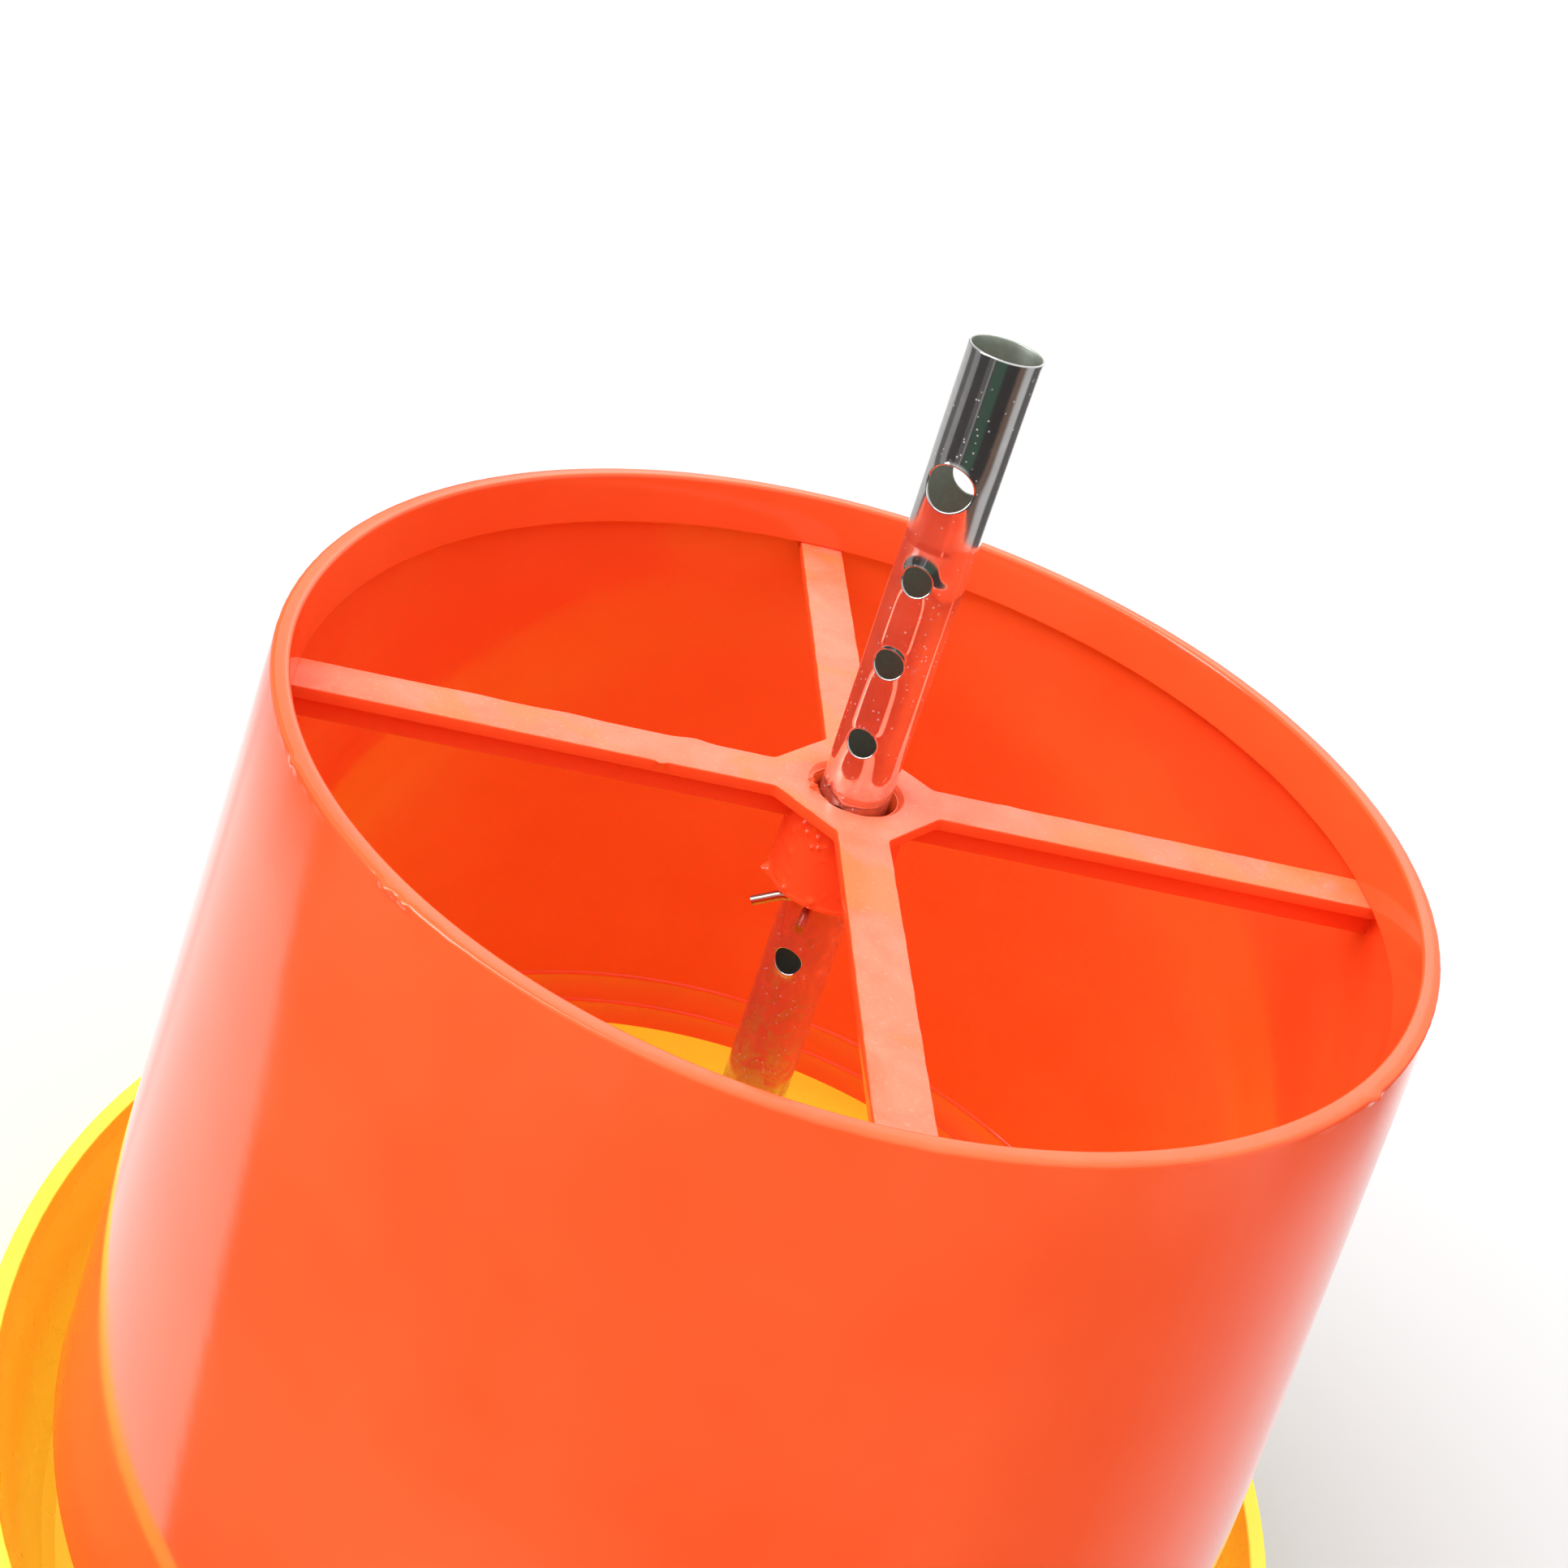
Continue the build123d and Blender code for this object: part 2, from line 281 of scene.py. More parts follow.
def pin_steel():
    """Duller zinc-plated wire, its colour tinted pink as a painted reflection of the orange hopper."""
    t = Tree("pin_steel")
    smudge = t.noise(300.0, 4.0, 0.6, 0.4)
    t.set(
        # Painted reflection: pink-tinted steel in place of the orange the wire mirrors
        Base_Color=t.mix(t.span(smudge, 0.35, 0.7), *WIRE_WITH_ORANGE_REFLECTION),
        Metallic=1.0,
        Roughness=t.span(smudge, 0.3, 0.7, 0.18, 0.30),
    )
    t.bump(t.noise(900.0, 3.0), 0.2, 0.0001)
    return t.material


def pale_floor():
    """Matt light grey."""
    t = Tree("pale_floor")
    t.set(Base_Color=t.mix(t.noise(3.0, 2.0), *FLOOR_GREY), Roughness=0.8)
    return t.material


orange = hopper_plastic()
yellow = pan_plastic()
steel = tube_steel()
wire = pin_steel()


def dress(name, material):
    """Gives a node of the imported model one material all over."""
    mesh = nodes[name].data
    mesh.materials.clear()
    mesh.materials.append(material)
    for polygon in mesh.polygons:
        polygon.material_index = 0


dress("hopper", orange)
dress("pan", yellow)
dress("adjusting_pin", wire)
dress("pan_pin", wire)


# Hopper moulding, in millimetres
def rounded(points, radii, steps=5):
    """The closed outline with each corner replaced by a small curve."""
    out = []
    count = len(points)
    for i, (point, radius) in enumerate(zip(points, radii)):
        if radius <= 0:
            out.append(point)
            continue
        here = Vector(point)
        before, after = Vector(points[i - 1]), Vector(points[(i + 1) % count])
        start = here + (before - here).normalized() * radius
        end = here + (after - here).normalized() * radius
        for k in range(steps + 1):
            s = k / steps
            out.append(tuple((1 - s) ** 2 * start + 2 * s * (1 - s) * here + s * s * end))
    return out


def split_long(points, longest, inner=-math.inf, longest_inside=0.0):
    """The outline with its long sides divided, more coarsely within an inner radius."""
    out = []
    for i, point in enumerate(points):
        here, after = Vector(point), Vector(points[(i + 1) % len(points)])
        most = longest_inside if (here.x + after.x) / 2 < inner else longest
        pieces = max(1, math.ceil((after - here).length / most))
        out += [tuple(here.lerp(after, k / pieces)) for k in range(pieces)]
    return out


def bridge(bm, rings, closed=False):
    """Faces from each ring to the next, and from the last to the first where they are closed."""
    pairs = list(zip(rings, rings[1:]))
    if closed:
        pairs.append((rings[-1], rings[0]))
    count = len(rings[0])
    for one, two in pairs:
        for i in range(count):
            bm.faces.new((one[i], two[i], two[(i + 1) % count], one[(i + 1) % count]))


def lathe(bm, outline, segments, shift):
    """Turns a closed (radius, height) outline round the upright axis, each point moved by its shift."""
    rings = []
    for k in range(segments):
        angle = 2 * math.pi * k / segments
        ring = []
        for r, z in outline:
            dr, dz = shift(angle, r, z)
            place = Vector(((r + dr) * math.cos(angle), (r + dr) * math.sin(angle), z + dz)) * MM
            ring.append(bm.verts.new(place))
        rings.append(ring)
    bridge(bm, rings, closed=True)


def ripple_at(x, y, z=0.0, fineness=1.0):
    """A smooth random value, about -0.5 to 0.5, that is the same at the same place each run.

    The third number is a height, or only picks another pattern.
    """
    return noise.noise(Vector((x, y, z)) * fineness)


def wave(place, size, fineness):
    """A smooth random rise or fall at a place, up to about half its size."""
    return size * ripple_at(*place, fineness)


def bell(value, width):
    return math.exp(-((value / width) ** 2))


def turned_degrees(angle, degrees):
    """How far an angle in radians lies past a compass angle in degrees, from -180 to 180."""
    return (math.degrees(angle) - degrees + 180.0) % 360.0 - 180.0


# Burrs on the rim's outer edge: compass angle, size, and width in degrees
RIM_BURRS = (
    (-107.2, 0.8, 0.7), (-124.6, 0.6, 0.6), (-15.6, 0.8, 0.7), (-105.0, 0.5, 0.5), (-60.0, 0.2, 0.8),
)
# How far the rim's burred corner runs down and inward, and how far the lip reaches from its height
BURR_DEEP, BURR_WIDE, LIP_DEEP = 0.9, 1.3, 1.2
# Waves, by size and fineness: all over the wall, along the burred corner, along the lip
WALL_WAVE, BURR_WAVE, LIP_WAVE = (0.10, 0.02), (0.09, 0.35), (0.14, 0.12)
BAND_LIP_R = 123.6
RIM_ROWS = (1.3, 2.2)
FOOT_RINGS = (50.0, 62.0)
WALL_SEGMENTS, WALL_LONGEST = 720, 16.0


def wall_shift(angle, r, z):
    """The moulding's slight waves, its burred rim and the uneven lip under the band."""
    x, y = r * math.cos(angle), r * math.sin(angle)
    out = wave((x, y, z), *WALL_WAVE)
    if z > RIM_Z - BURR_DEEP and r > RIM_OUTER_R - BURR_WIDE:
        out += wave((x, y, 0.0), *BURR_WAVE)
        out += sum(size * bell(turned_degrees(angle, at), width) for at, size, width in RIM_BURRS)
    if abs(z - SPIDER_Z) < LIP_DEEP and r < MOUTH_R:
        out += wave((x, y, 3.0), *LIP_WAVE)
    return out, 0.0


def inner_radius(z):
    return CHAMBER_TOP_R + (SPIDER_Z - z) / (SPIDER_Z - FOOT_Z) * (FOOT_INNER_R - CHAMBER_TOP_R)


def outer_radius(z):
    return RIM_OUTER_R + (RIM_Z - z) / (RIM_Z - FOOT_Z) * (FOOT_OUTER_R - RIM_OUTER_R)


def ring_points(z):
    """The section of a fine ring that stands inward from the chamber's wall."""
    r = inner_radius(z)
    return [(r, z - 0.8), (r - 0.45, z - 0.3), (r - 0.6, z), (r - 0.45, z + 0.3), (r, z + 0.8)]


# The rows close under the rim keep a burr from running down the wall
rim_rows = [(outer_radius(RIM_Z - drop), RIM_Z - drop) for drop in RIM_ROWS]
ring_rows = [point for z in FOOT_RINGS for point in ring_points(z)]
wall = rounded(
    [(MOUTH_R, RIM_Z), (RIM_OUTER_R, RIM_Z)]
    + rim_rows
    + [(FOOT_OUTER_R, FOOT_Z), (FOOT_INNER_R, FOOT_Z)]
    + ring_rows
    + [(CHAMBER_TOP_R, SPIDER_Z), (BAND_LIP_R, SPIDER_Z)],
    [1.0, 0.8] + [0] * len(rim_rows) + [0.8, 0.8] + [0] * len(ring_rows) + [0.6, 0.7],
)

hopper_bm = bmesh.new()
lathe(hopper_bm, split_long(wall, WALL_LONGEST), WALL_SEGMENTS, wall_shift)

# Spider, in the arms' own frame: an arm's half width, where the hub's slanted sides meet it, its end
HALF_WIDTH, CORNER, REACH = 5.85, 18.75, 127.4
CORNER_ROUND, SPIDER_STEP = 0.9, 0.9
# Two waves along the edge, by size and fineness, and the last stretch of an arm that stays straight
EDGE_WAVE, EDGE_GRAIN, STRAIGHT_END = (0.13, 0.16), (0.06, 0.7), 3.0
# Lobes of flash on the arms' edges: place along the arm, side, width, size
LOBES = (
    (-37.2, 1, 3.2, 0.95), (-65.0, 1, 6.0, 0.45), (-44.5, -1, 0.9, 0.85), (-88.0, 1, 7.0, 0.35),
    (36.0, 1, 2.0, 0.3),
)
LOBE_NEAR = 0.6
ARM_CORNERS = ((CORNER, -HALF_WIDTH), (REACH, -HALF_WIDTH), (REACH, HALF_WIDTH), (CORNER, HALF_WIDTH))
# Rings down the plate's edge: inset, depth under the top, share of the flash
EDGE_LEVELS = (
    (0.32, 0.0, 1.0), (0.14, 0.04, 1.0), (0.03, 0.14, 1.0), (0.0, 0.34, 0.8), (0.0, 0.9, 0.25),
    (0.0, 2.6, 0.0), (0.10, 2.9, 0.0), (0.35, 3.0, 0.0),
)
# Rings down the recess and the bore: depth under the top, radius
RECESS_LEVELS = ((0.0, 11.1), (0.10, 10.9), (0.35, 10.6), (1.6, 9.5), (3.0, 9.35))
RECESS_STEPS = 120
# The recess is rough down to one depth, and near one compass angle it is gouged down to another
ROUGH_DEEP, ROUGH_WAVE = 1.0, (0.16, 2.6)
GOUGE_AT, GOUGE_SPREAD, GOUGE_DEEP, GOUGE_SIZE, GOUGE_FINENESS = 196.0, 26.0, 0.2, 0.5, 0.37


def spider_outline():
    """Places round the plate's edge, each with its outward direction and its flash."""
    corners, radii = [], []
    for q in range(4):
        turn = Matrix.Rotation(q * math.pi / 2, 2)
        for x, y in ARM_CORNERS:
            corners.append(tuple(turn @ Vector((x, y))))
            radii.append(CORNER_ROUND if x == CORNER else 0.0)
    line = [Vector(p) for p in split_long(rounded(corners, radii, 4), SPIDER_STEP)]
    out = []
    for i, here in enumerate(line):
        along = (line[(i + 1) % len(line)] - line[i - 1]).normalized()
        normal = Vector((along.y, -along.x))
        push = wave((here.x, here.y, 7.0), *EDGE_WAVE) + wave((here.x, here.y, 9.0), *EDGE_GRAIN)
        for at, side, width, size in LOBES:
            if abs(here.y - side * HALF_WIDTH) < LOBE_NEAR:
                push += size * bell(here.x - at, width)
        if max(abs(here.x), abs(here.y)) > REACH - STRAIGHT_END:
            push = 0.0
        out.append((here, normal, push))
    return out


def recess_ring(bm, drop, r):
    """One ring of the recess, rough near the top and gouged on one side at its edge."""
    ring = []
    for k in range(RECESS_STEPS):
        angle = 2 * math.pi * k / RECESS_STEPS
        x, y = math.cos(angle), math.sin(angle)
        reach = r
        if drop < ROUGH_DEEP:
            reach += wave((x, y, drop), *ROUGH_WAVE)
        if drop < GOUGE_DEEP:
            gouge = bell(turned_degrees(angle, GOUGE_AT), GOUGE_SPREAD)
            reach += GOUGE_SIZE * gouge * (0.6 + ripple_at(k, 0.0, 0.0, GOUGE_FINENESS))
        ring.append(bm.verts.new((reach * x * MM, reach * y * MM, (SPIDER_Z - drop) * MM)))
    return ring


def spider_plate(bm):
    """The flat arms and hub plate, with the recess round the bore."""
    outline = spider_outline()
    turn = Matrix.Rotation(ARM_TURN, 2)
    rings = []
    for inset, drop, flash in EDGE_LEVELS:
        ring = []
        for here, normal, push in outline:
            place = turn @ (here + normal * (push * flash - inset))
            ring.append(bm.verts.new((place.x * MM, place.y * MM, (SPIDER_Z - drop) * MM)))
        rings.append(ring)
    count = len(outline)
    for one, two in zip(rings, rings[1:]):
        for i in range(count):
            bm.faces.new((one[i], one[(i + 1) % count], two[(i + 1) % count], two[i]))
    circles = [recess_ring(bm, drop, r) for drop, r in RECESS_LEVELS]
    bridge(bm, circles)
    for loops in ((rings[0], circles[0]), (rings[-1], circles[-1])):
        edges = [bm.edges.get(ends) for loop in loops for ends in zip(loop, loop[1:] + loop[:1])]
        bmesh.ops.triangle_fill(bm, use_beauty=True, edges=edges)


spider_plate(hopper_bm)


# The webs' section under the plate, from the spider's top, and their stations from the hub to the wall
WEB_TOP, WEB_FOOT = -1.5, -9.9
WEB_TOP_HALF, WEB_FOOT_HALF, WEB_ROUND = 1.9, 1.65, 0.5
WEB_STATIONS = (11.5, 40.0, 70.0, 100.0, 127.6)


def web(bm, turn_angle):
    """The narrower rib under one arm, with drawn-in sides and a soft lower edge."""
    left = [(-WEB_TOP_HALF, WEB_TOP), (-WEB_FOOT_HALF, WEB_FOOT)]
    right = [(WEB_FOOT_HALF, WEB_FOOT), (WEB_TOP_HALF, WEB_TOP)]
    section = rounded(left + right, [0, WEB_ROUND, WEB_ROUND, 0], 4)
    turn = Matrix.Rotation(turn_angle, 3, "Z")
    rings = []
    for x in WEB_STATIONS:
        rings.append([bm.verts.new(turn @ (Vector((x, y, SPIDER_Z + z)) * MM)) for y, z in section])
    bridge(bm, rings)
    bm.faces.new(rings[0])
    bm.faces.new(list(reversed(rings[-1])))


for q in range(4):
    web(hopper_bm, ARM_TURN + q * math.pi / 2)


# Pimples on the sleeve: compass angle, height, width, size
SLEEVE_BUMPS = (
    (-114.6, 226.0, 0.9, 0.45), (-112.0, 227.6, 0.7, 0.35), (-105.6, 226.1, 0.6, 0.35),
    (-93.0, 226.7, 0.6, 0.35), (-96.0, 223.7, 0.5, 0.30), (-89.7, 224.3, 0.5, 0.35),
    (-83.9, 225.1, 0.5, 0.30), (-109.3, 210.6, 0.7, 0.45), (-80.4, 210.8, 0.8, 0.30),
    (-121.0, 224.0, 0.8, 0.3), (-99.0, 229.0, 1.2, 0.35), (-117.0, 219.0, 1.0, 0.2),
)
BUMP_GAIN, BUMP_SPREAD = 2.0, 1.1
FIN_AT, FIN_SIZE, FIN_DEGREES, FIN_TALL = 216.0, 1.9, 6.0, 1.1
# Waves and lumps, by size and fineness, and how far up from the sleeve's foot its edge is uneven
SLEEVE_WAVE, FOOT_WAVE, FOOT_DEEP = (0.14, 0.13), (0.10, 0.4), 1.0
LUMP_SIZE, LUMP_FINENESS = 0.4, 0.55
SLEEVE_SEGMENTS, SLEEVE_STEP, SLEEVE_INNER_STEP = 320, 0.4, 2.5
SLEEVE_BORE_R, SLEEVE_OUTER_R = 9.0, 13.9
# The sleeve stays smooth within the first radius, and its outline is divided finely beyond the second
SMOOTH_BORE_R, FINE_FROM_R = 11.0, 13.0


def sleeve_shift(angle, r, z):
    """The sleeve's lumps and pimples, the fin at its foot and its uneven lower edge."""
    if r < SMOOTH_BORE_R:
        return 0.0, 0.0
    x, y = r * math.cos(angle), r * math.sin(angle)
    bumps = 0.0
    for at, bump_z, width, size in SLEEVE_BUMPS:
        if abs(z - bump_z) < 4 * width:
            away = math.hypot(math.radians(turned_degrees(angle, at)) * r, z - bump_z)
            bumps += BUMP_GAIN * size * bell(away, width * BUMP_SPREAD)
    lumps = LUMP_SIZE * max(0.0, ripple_at(x, y, z, LUMP_FINENESS)) ** 2
    fin = FIN_SIZE * bell(turned_degrees(angle, FIN_AT), FIN_DEGREES)
    out = wave((x, y, z), *SLEEVE_WAVE) + lumps
    out += bumps + fin * bell(z - SLEEVE_FOOT_Z - FOOT_DEEP, FIN_TALL)
    return out, wave((x, y, 5.0), *FOOT_WAVE) * (z < SLEEVE_FOOT_Z + FOOT_DEEP)


sleeve = rounded(
    [
        (SLEEVE_BORE_R + 0.7, SPIDER_Z - 1.5), (12.6, SPIDER_Z - 1.5), (13.4, SPIDER_Z - 2.0),
        (13.75, SLEEVE_FOOT_Z + 1.5), (13.95, SLEEVE_FOOT_Z + 0.9), (SLEEVE_OUTER_R, SLEEVE_FOOT_Z),
        (SLEEVE_BORE_R, SLEEVE_FOOT_Z), (SLEEVE_BORE_R, SPIDER_Z - 2.6),
    ],
    [0, 0, 0, 0.3, 0.2, 0.5, 0.3, 0],
    4,
)
sleeve_outline = split_long(sleeve, SLEEVE_STEP, FINE_FROM_R, SLEEVE_INNER_STEP)
lathe(hopper_bm, sleeve_outline, SLEEVE_SEGMENTS, sleeve_shift)

# A bead of flash: the compass angle where it is thickest, its spread, and its least share elsewhere
FLASH_AT, FLASH_SPREAD, FLASH_LEAST = 222.0, 34.0, 0.10
FLASH_R, FLASH_DEPTH, FLASH_BORE_GAP = 9.75, 1.35, 0.1
FLASH_COARSE, FLASH_FINE, FLASH_SWAY = 5.0, 15.0, 3.0
FLASH_STEPS, FLASH_SIDES = 300, 10


def flash_ring(bm):
    """Torn flash standing round the bore, mostly on one side."""
    rings = []
    for k in range(FLASH_STEPS):
        angle = 2 * math.pi * k / FLASH_STEPS
        x, y = math.cos(angle), math.sin(angle)
        near = FLASH_LEAST + (1 - FLASH_LEAST) * bell(turned_degrees(angle, FLASH_AT), FLASH_SPREAD)
        lump = abs(ripple_at(x * FLASH_COARSE, y * FLASH_COARSE, 2.0))
        lump += 0.6 * abs(ripple_at(x * FLASH_FINE, y * FLASH_FINE, 5.0))
        thick = (0.15 + 0.95 * near * (0.25 + lump)) * 1.1
        centre_r = FLASH_R + near + 0.6 * near * ripple_at(x * FLASH_SWAY, y * FLASH_SWAY, 8.0)
        centre_z = SPIDER_Z - FLASH_DEPTH + near * (0.85 + 0.9 * lump)
        ring = []
        for j in range(FLASH_SIDES):
            phi = 2 * math.pi * j / FLASH_SIDES
            r = max(centre_r + thick * math.cos(phi), SLEEVE_BORE_R + FLASH_BORE_GAP)
            ring.append(bm.verts.new(Vector((r * x, r * y, centre_z + thick * math.sin(phi))) * MM))
        rings.append(ring)
    bridge(bm, rings, closed=True)


flash_ring(hopper_bm)
bmesh.ops.recalc_face_normals(hopper_bm, faces=hopper_bm.faces)
moulding = mesh_object("hopper_moulding", hopper_bm, 40)
moulding.data.materials.append(orange)
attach(moulding, "hopper")
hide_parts("hopper")

# Tube, with the metal drawn outward round its near holes and inward round its far ones
# A hole sits in a square patch of the grid, with half its width and its steps along one side
PATCH, PATCH_STEPS = 8.0, 20
GAP_STEPS, ROW_STEP = 10, 1.3
SPREAD_STEPS, SPREAD_POWER = 12, 1.6
LIP_R, LIP_STEPS = TUBE_WALL / 2, 6
HOLES = [(HANGING_HOLE_Z, HANGING_HOLE_R)]
HOLES += [(LOWEST_HOLE_Z + HOLE_PITCH * k, SMALL_HOLE_R) for k in range(HOLE_COUNT)]
HOLES += [(PAN_HOLE_Z, SMALL_HOLE_R)]
DRAWN_OUT, DRAWN_IN, DRAWN_REACH = 0.34, -0.40, 14.0
# How wide the drawn metal spreads over and under a small hole, and a large one
SMALL_WIDTHS, LARGE_WIDTHS = (0.65, 2.4), (1.3, 4.6)
# Dents in the near wall: height, arc length from the holes' line, depth, width
DENTS = ((HIGHEST_HOLE_Z + 2.2, 6.2, 0.10, 2.2), (323.0, 2.0, 0.04, 5.0))
# Waves, by size and fineness: all over the tube, round a hole's edge
TUBE_WAVE, HOLE_WAVE = (0.02, 0.14), (0.05, 2.1)


def drawn(side, s, z):
    """How far the tube's wall stands out from its true radius, at an arc length and a height."""
    out = 0.0
    for hole_z, hole_r in HOLES:
        if abs(z - hole_z) < DRAWN_REACH:
            away = max(0.001, math.hypot(s, z - hole_z))
            beyond = max(0.0, away - hole_r)
            over, under = SMALL_WIDTHS if hole_r == SMALL_HOLE_R else LARGE_WIDTHS
            wide = under + (over - under) * (0.5 + 0.5 * (z - hole_z) / away)
            most = (DRAWN_OUT if side < 0 else DRAWN_IN) * (hole_r / SMALL_HOLE_R)
            out += most * math.exp(-beyond / wide)
    if side < 0:
        for dent_z, dent_s, depth, width in DENTS:
            out -= depth * bell(math.hypot(s - dent_s, z - dent_z), width)
    return out + wave((s, z, side * 5.0), *TUBE_WAVE)


def tube_columns():
    """Arc lengths from the left of a hole's patch round to the next patch, half a turn on."""
    gap = math.pi * TUBE_R - 2 * PATCH
    columns = [-PATCH + 2 * PATCH * i / PATCH_STEPS for i in range(PATCH_STEPS)]
    return columns + [PATCH + gap * j / GAP_STEPS for j in range(GAP_STEPS + 1)]


def tube_rows():
    """Heights between the two lips, with even steps across each patch."""
    rows = [TUBE_FOOT_Z + LIP_R]
    for hole_z, _ in sorted(HOLES):
        low = hole_z - PATCH
        steps = max(1, round((low - rows[-1]) / ROW_STEP))
        rows += [rows[-1] + (low - rows[-1]) * k / steps for k in range(1, steps + 1)]
        rows += [low + 2 * PATCH * k / PATCH_STEPS for k in range(1, PATCH_STEPS + 1)]
    top = TUBE_TOP_Z - LIP_R
    steps = round((top - rows[-1]) / ROW_STEP)
    return rows + [rows[-1] + (top - rows[-1]) * k / steps for k in range(1, steps + 1)]


def in_patch(s, z):
    return -PATCH < s < PATCH and any(abs(z - hole_z) < PATCH for hole_z, _ in HOLES)


def patch_edge():
    """Places along the patch's square edge, closed, from the hole's middle."""
    corners = ((-PATCH, -PATCH), (PATCH, -PATCH), (PATCH, PATCH), (-PATCH, PATCH), (-PATCH, -PATCH))
    edge = []
    for (s0, z0), (s1, z1) in zip(corners, corners[1:]):
        for k in range(PATCH_STEPS):
            f = k / PATCH_STEPS
            edge.append((s0 + (s1 - s0) * f, z0 + (z1 - z0) * f))
    return edge + edge[:1]


def hole_chain(side, hole_z, hole_r, spread, depth):
    """A closed chain from the hole's edge, at a spread of 0, to the patch's edge, at 1."""
    chain = []
    for s, dz in patch_edge():
        theta = math.atan2(dz, s)
        rough = wave((math.cos(theta), math.sin(theta), hole_z + side), *HOLE_WAVE)
        r = hole_r + rough * (1 - spread)
        edge_s = TUBE_R * math.asin(r * math.cos(theta) / TUBE_R)
        edge_z = r * math.sin(theta)
        chain.append((edge_s + (s - edge_s) * spread, hole_z + edge_z + (dz - edge_z) * spread, depth))
    return chain


def tube_mesh():
    """The tube's outer and inner faces, joined round each hole and at both ends by rounded lips."""
    bm = bmesh.new()
    verts = {}
    half_turn = math.pi * TUBE_R

    def vert(side, s, z, depth):
        if s > half_turn - PATCH + 0.001:
            side, s = -side, s - half_turn
        angle = side * math.pi / 2 + s / TUBE_R
        key = (round(math.degrees(angle) % 360.0, 3) % 360.0, round(z, 4), round(depth, 4))
        if key not in verts:
            r = TUBE_R - depth + drawn(side, s, z)
            verts[key] = bm.verts.new(Vector((r * math.cos(angle), r * math.sin(angle), z)) * MM)
        return verts[key]

    def strip(side, places):
        """Faces between two neighbouring chains of (s, z, depth)."""
        for one, two in zip(places, places[1:]):
            for i in range(len(one) - 1):
                bm.faces.new([vert(side, *p) for p in (one[i], one[i + 1], two[i + 1], two[i])])

    columns, rows = tube_columns(), tube_rows()
    turns = [math.pi * k / LIP_STEPS for k in range(LIP_STEPS + 1)]
    lip = [(LIP_R * math.sin(a), LIP_R - LIP_R * math.cos(a)) for a in turns]
    spreads = [(k / SPREAD_STEPS) ** SPREAD_POWER for k in range(SPREAD_STEPS + 1)]
    for side in (-1, 1):
        for depth in (0.0, TUBE_WALL):
            for s0, s1 in zip(columns, columns[1:]):
                for z0, z1 in zip(rows, rows[1:]):
                    if not in_patch((s0 + s1) / 2, (z0 + z1) / 2):
                        corners = ((s0, z0), (s1, z0), (s1, z1), (s0, z1))
                        bm.faces.new([vert(side, s, z, depth) for s, z in corners])
        for end, way in ((rows[0], -1), (rows[-1], 1)):
            strip(side, [[(s, end + way * out, depth) for s in columns] for out, depth in lip])
        for hole_z, hole_r in HOLES:
            wide_r = hole_r + LIP_R
            chains = [hole_chain(side, hole_z, wide_r, f, 0.0) for f in reversed(spreads)]
            chains += [hole_chain(side, hole_z, wide_r - out, 0.0, depth) for out, depth in lip[1:]]
            chains += [hole_chain(side, hole_z, wide_r, f, TUBE_WALL) for f in spreads[1:]]
            strip(side, chains)
    bmesh.ops.recalc_face_normals(bm, faces=bm.faces)
    return bm


tube = mesh_object("tube_drawn", tube_mesh(), 180)
tube.data.materials.append(steel)
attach(tube, "stem")
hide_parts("tube")

# Floor, just under the pan
FLOOR_REACH, FLOOR_STEPS, FLOOR_DROP = 14.0, 24, 0.0004
floor_bm = bmesh.new()
bmesh.ops.create_grid(floor_bm, x_segments=FLOOR_STEPS, y_segments=FLOOR_STEPS, size=FLOOR_REACH)
floor = mesh_object("floor", floor_bm)
floor.location = (0, 0, -FLOOR_DROP)
floor.data.materials.append(pale_floor())
floor.visible_glossy = False


def aim(obj, direction):
    obj.rotation_euler = direction.to_track_quat("-Z", "Y").to_euler()


# Lights: a wide window far behind, and a soft key from the left behind the camera
WINDOW_PLACE, WINDOW_AIM = Vector((-0.70, 2.05, 1.60)), Vector((0, 0, 0.2))
window = bpy.data.lights.new("window_back", "AREA")
window.shape = "RECTANGLE"
window.size, window.size_y = 2.1, 1.0
window.energy = 6
window_back = link(bpy.data.objects.new("window_back", window))
window_back.location = WINDOW_PLACE
aim(window_back, WINDOW_AIM - WINDOW_PLACE)

KEY_AZIMUTH, KEY_HEIGHT = math.radians(214), math.radians(49)
sun = bpy.data.lights.new("soft_key", "SUN")
sun.angle = math.radians(52)
sun.energy = 2.6
key = link(bpy.data.objects.new("soft_key", sun))
level_part = math.cos(KEY_HEIGHT)
key_x, key_y = math.cos(KEY_AZIMUTH) * level_part, math.sin(KEY_AZIMUTH) * level_part
key_from = Vector((key_x, key_y, math.sin(KEY_HEIGHT)))
aim(key, -key_from)
key.visible_glossy = False

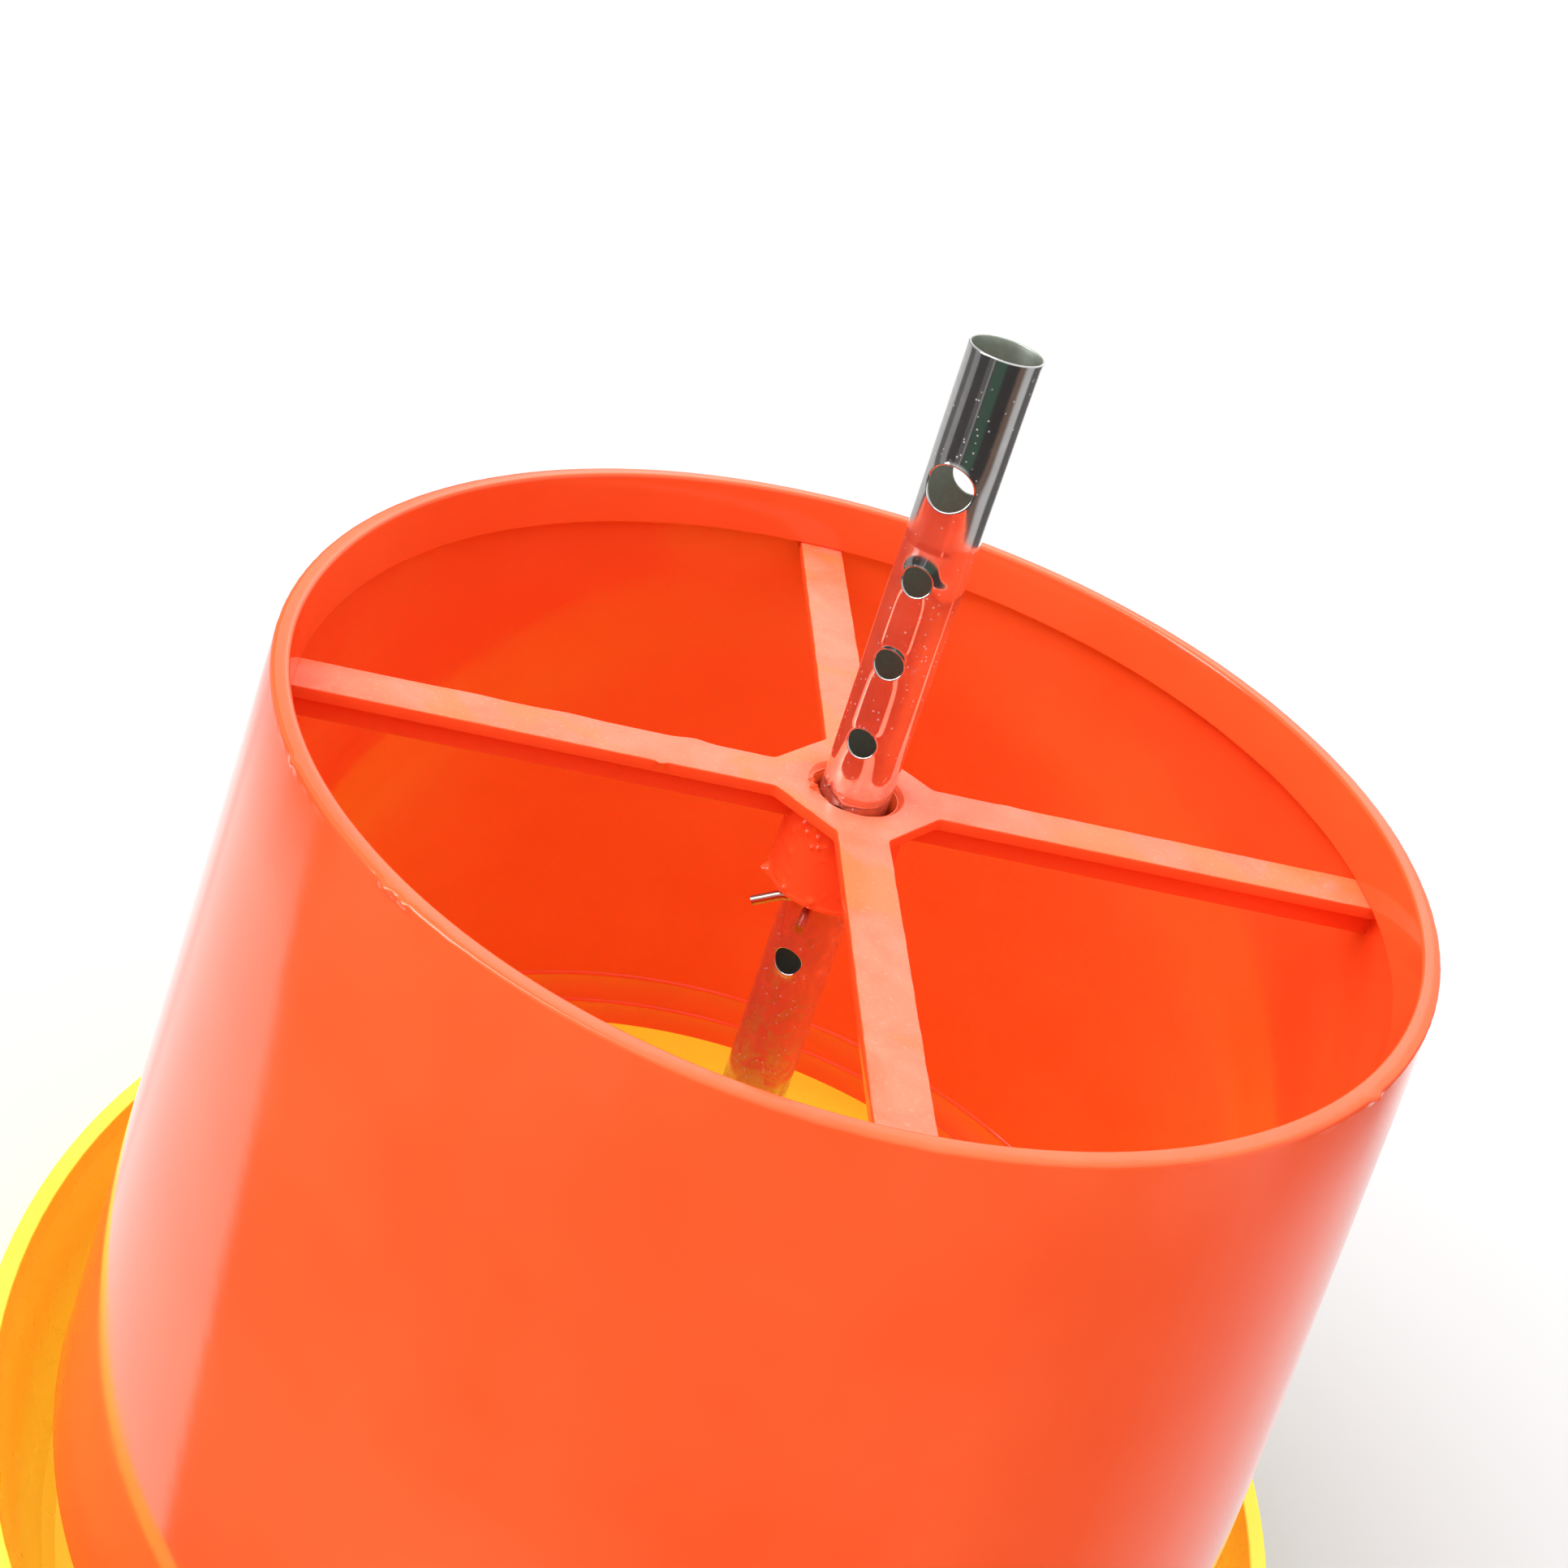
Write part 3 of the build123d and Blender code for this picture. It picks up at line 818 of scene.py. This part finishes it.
# The room: light that grows from the horizon to the ceiling for diffuse rays, white for the camera's own
# rays, and for reflections light and dark bands all round, by compass angle in degrees. The steel tube
# mirrors the level bands, the hopper's wall the lower ones and the flat tops the upper ones
HORIZON_GLOW, CEILING_GLOW, BAND_GLOW = 0.08, 2.12, 2.0
WHITE = (1, 1, 1, 1)
GREEN, BROWN = (0.012, 0.034, 0.022), (0.075, 0.050, 0.038)
LEVEL_BANDS = (
    (-180, 0.05), (-168, 0.05), (-162, 0.125), (-146, 0.115), (-141, 0.012), (-115, 0.012),
    (-111, 0.045), (-101, 0.04), (-97, 0.13), (-93, 0.015), (-88, GREEN), (-62, GREEN), (-55, 0.008),
    (-26, 0.008), (-16, BROWN), (-4, BROWN), (6, 0.25), (24, 0.27), (32, 0.05), (60, 0.06), (72, 0.55),
    (80, 0.80), (110, 0.55), (140, 0.30), (168, 0.26), (176, 0.05), (180, 0.05),
)
LOWER_BANDS = (
    (-180, 0.05), (-147, 0.05), (-110, 0.04), (-60, 0.03), (0, 0.03), (12, 0.06), (26, 0.18),
    (42, 0.31), (58, 0.40), (80, 0.45), (120, 0.50), (143, 0.60), (150, 0.10), (158, 0.05), (180, 0.05),
)
UPPER_BANDS = (
    (-180, 0.35), (-152, 0.35), (-147, 5.0), (-133, 5.0), (-128, 0.38), (30, 0.42), (84, 0.34), (100, 0.34),
    (113, 0.60), (118, 0.60), (124, 0.03), (145, 0.03), (180, 0.35),
)
# Rays change from the level bands to the lower or the upper ones between these upward parts
LOWER_FROM, LOWER_TO = -0.47, -0.53
UPPER_FROM, UPPER_TO = -0.02, 0.25
# The pale gloss on the wall's left ends at a compass angle that grows as its rays point further down
GLOSS_LEVEL, GLOSS_START, GLOSS_EDGE, GLOSS_AT_Z, GLOSS_LEAN = 0.63, 143.0, 191.4, -0.546, -85.0
GLOSS_FADE_IN, GLOSS_FADE_OUT = 7.0, 1.5


class Room(Graph):
    """The world's nodes."""

    def __init__(self):
        world = bpy.data.worlds.new("studio")
        scene.world = world
        world.use_nodes = True
        super().__init__(world.node_tree)

    def bands(self, turn, levels):
        """A ramp round the compass, from each angle's level to the next."""
        node = self.tree.nodes.new("ShaderNodeValToRGB")
        self.join(turn, node.inputs["Fac"])
        elements = node.color_ramp.elements
        for i, (degrees, level) in enumerate(levels):
            at = (degrees + 180.0) / 360.0
            element = elements[i] if i < 2 else elements.new(at)
            element.position = at
            element.color = (*(level if isinstance(level, tuple) else (level,) * 3), 1.0)
        return node.outputs["Color"]

    def glow(self, colour, strength):
        node = self.tree.nodes.new("ShaderNodeBackground")
        self.put(node.inputs["Color"], colour)
        self.put(node.inputs["Strength"], strength)
        return node.outputs["Background"]

    def choose(self, factor, plain, chosen):
        """The second light where the factor is 1, and the first elsewhere."""
        node = self.tree.nodes.new("ShaderNodeMixShader")
        for socket, source in zip(node.inputs, (factor, plain, chosen)):
            self.join(source, socket)
        return node.outputs["Shader"]


room = Room()
way = room.split(room.tree.nodes.new("ShaderNodeTexCoord").outputs["Generated"])
turn = room.span(room.math("ARCTAN2", way[1], way[0]), -math.pi, math.pi)
compass = room.math("MULTIPLY", room.math("FRACT", room.math("ADD", turn, 0.5)), 360.0)
lean = room.math("MULTIPLY", room.math("SUBTRACT", way[2], GLOSS_AT_Z), GLOSS_LEAN)
limit = room.math("ADD", lean, GLOSS_EDGE)
within = room.span(room.math("SUBTRACT", compass, limit), GLOSS_FADE_OUT, -GLOSS_FADE_OUT)
gloss = room.math("MULTIPLY", within, room.span(compass, GLOSS_START, GLOSS_START + GLOSS_FADE_IN))
lower = room.mix(gloss, room.bands(turn, LOWER_BANDS), (GLOSS_LEVEL,) * 3)
level = room.mix(room.span(way[2], LOWER_FROM, LOWER_TO), room.bands(turn, LEVEL_BANDS), lower)
bands = room.mix(room.span(way[2], UPPER_FROM, UPPER_TO), level, room.bands(turn, UPPER_BANDS))
even = room.glow(WHITE, room.span(way[2], 0.0, 1.0, HORIZON_GLOW, CEILING_GLOW))
kind = room.tree.nodes.new("ShaderNodeLightPath").outputs
choice = room.choose(kind["Is Glossy Ray"], even, room.glow(bands, BAND_GLOW))
backdrop = room.choose(kind["Is Camera Ray"], choice, room.glow(WHITE, 1.0))
room.join(backdrop, room.tree.nodes.new("ShaderNodeOutputWorld").inputs["Surface"])

# Camera at the photo's viewpoint
lens = bpy.data.cameras.new("camera")
lens.sensor_fit = "HORIZONTAL"
lens.sensor_width = 36.0
lens.lens = 44.777
lens.shift_x = -0.0193
lens.shift_y = -0.1020
lens.clip_start = 0.01
lens.clip_end = 50.0
camera = link(bpy.data.objects.new("camera", lens))
camera.rotation_mode = "QUATERNION"
camera.location = (0.10375, -0.36230, 0.45186)
camera.rotation_quaternion = Quaternion((0.804180, 0.531109, 0.006249, 0.266792))
scene.camera = camera
